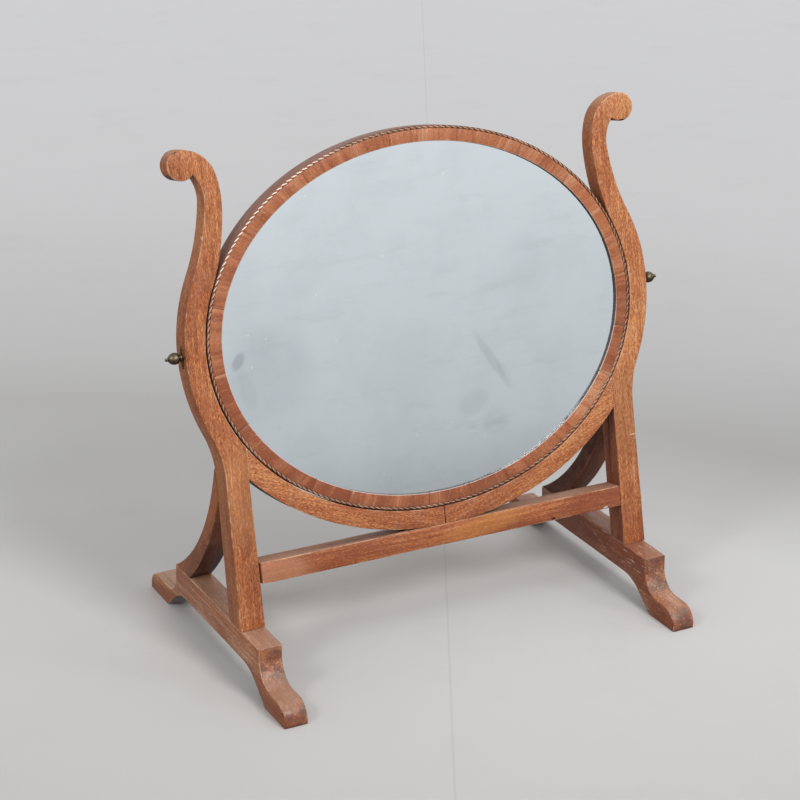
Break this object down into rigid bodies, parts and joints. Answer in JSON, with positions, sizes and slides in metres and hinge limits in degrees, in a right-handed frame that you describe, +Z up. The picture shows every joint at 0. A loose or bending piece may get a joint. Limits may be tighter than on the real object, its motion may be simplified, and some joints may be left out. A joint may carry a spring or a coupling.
{
  "type": "swinging toilet mirror",
  "caption": "Oval swing mirror between lyre uprights on shaped feet, with curved rear braces, a straight stretcher and a crescent rail under the glass.",
  "frame": {"origin": "on the floor under the middle of the stand, at the bottom centre of the bounding box", "axes": "+X across to the object's right as seen from the front, -Y towards the front, +Z up"},
  "size_m": [0.5312, 0.331, 0.5022],
  "materials": {
    "foot_wood": "worn oiled mahogany",
    "post_wood": "worn oiled mahogany",
    "brace_wood": "worn oiled mahogany",
    "rail_wood": "worn oiled mahogany",
    "crescent_wood": "worn oiled mahogany",
    "frame_wood": "dark polished mahogany",
    "band_wood": "polished crossbanded veneer",
    "string_wood": "light and dark stringing",
    "dowel_wood": "plain beech",
    "board_wood": "unpolished pine",
    "block_wood": "unpolished pine",
    "mirror_plate": "old silvered glass",
    "bronze": "dark patinated bronze",
    "bronze_stem": "worn bronze",
    "plate_brass": "dull brass",
    "screw_steel": "dull steel"
  },
  "bodies": {
    "stand": {"foot_left": "foot_wood", "foot_right": "foot_wood", "upright_left": "post_wood", "upright_right": "post_wood", "brace_left": "brace_wood", "brace_right": "brace_wood", "crescent_left": "crescent_wood", "crescent_right": "crescent_wood", "escutcheon_left": "plate_brass", "escutcheon_right": "plate_brass", "pivot_bush_left": "plate_brass", "pivot_bush_right": "plate_brass", "stretcher": "rail_wood", "rail_dowels": "dowel_wood", "brace_dowels": "dowel_wood", "escutcheon_pins": "plate_brass"},
    "mirror": {"mirror_frame": "frame_wood", "crossband_veneer": "band_wood", "edge_stringing": "string_wood", "mirror_glass": "mirror_plate", "backboard": "board_wood", "backboard_screws": "screw_steel", "glazing_blocks": "block_wood", "nut_plate_screws": "screw_steel", "nut_plate_left": "plate_brass", "nut_plate_right": "plate_brass", "pivot_washer_left": "screw_steel", "pivot_washer_right": "screw_steel"},
    "knob_left": {"knob_left": "bronze", "pivot_screw_left": "bronze_stem"},
    "knob_right": {"knob_right": "bronze", "pivot_screw_right": "bronze_stem"}
  },
  "joints": [
    {"name": "mirror_tilt", "type": "hinge", "parent": "stand", "child": "mirror", "pos_m": [0, -0.00851, 0.31564], "axis": [1, 0, 0], "range_deg": [-90, 90]},
    {"name": "knob_left_turn", "type": "hinge", "parent": "mirror", "child": "knob_left", "pos_m": [0, -0.00851, 0.31564], "axis": [-1, 0, 0], "range_deg": [-360, 90]},
    {"name": "knob_right_turn", "type": "hinge", "parent": "mirror", "child": "knob_right", "pos_m": [0, -0.00851, 0.31564], "axis": [1, 0, 0], "range_deg": [-360, 90]}
  ]
}
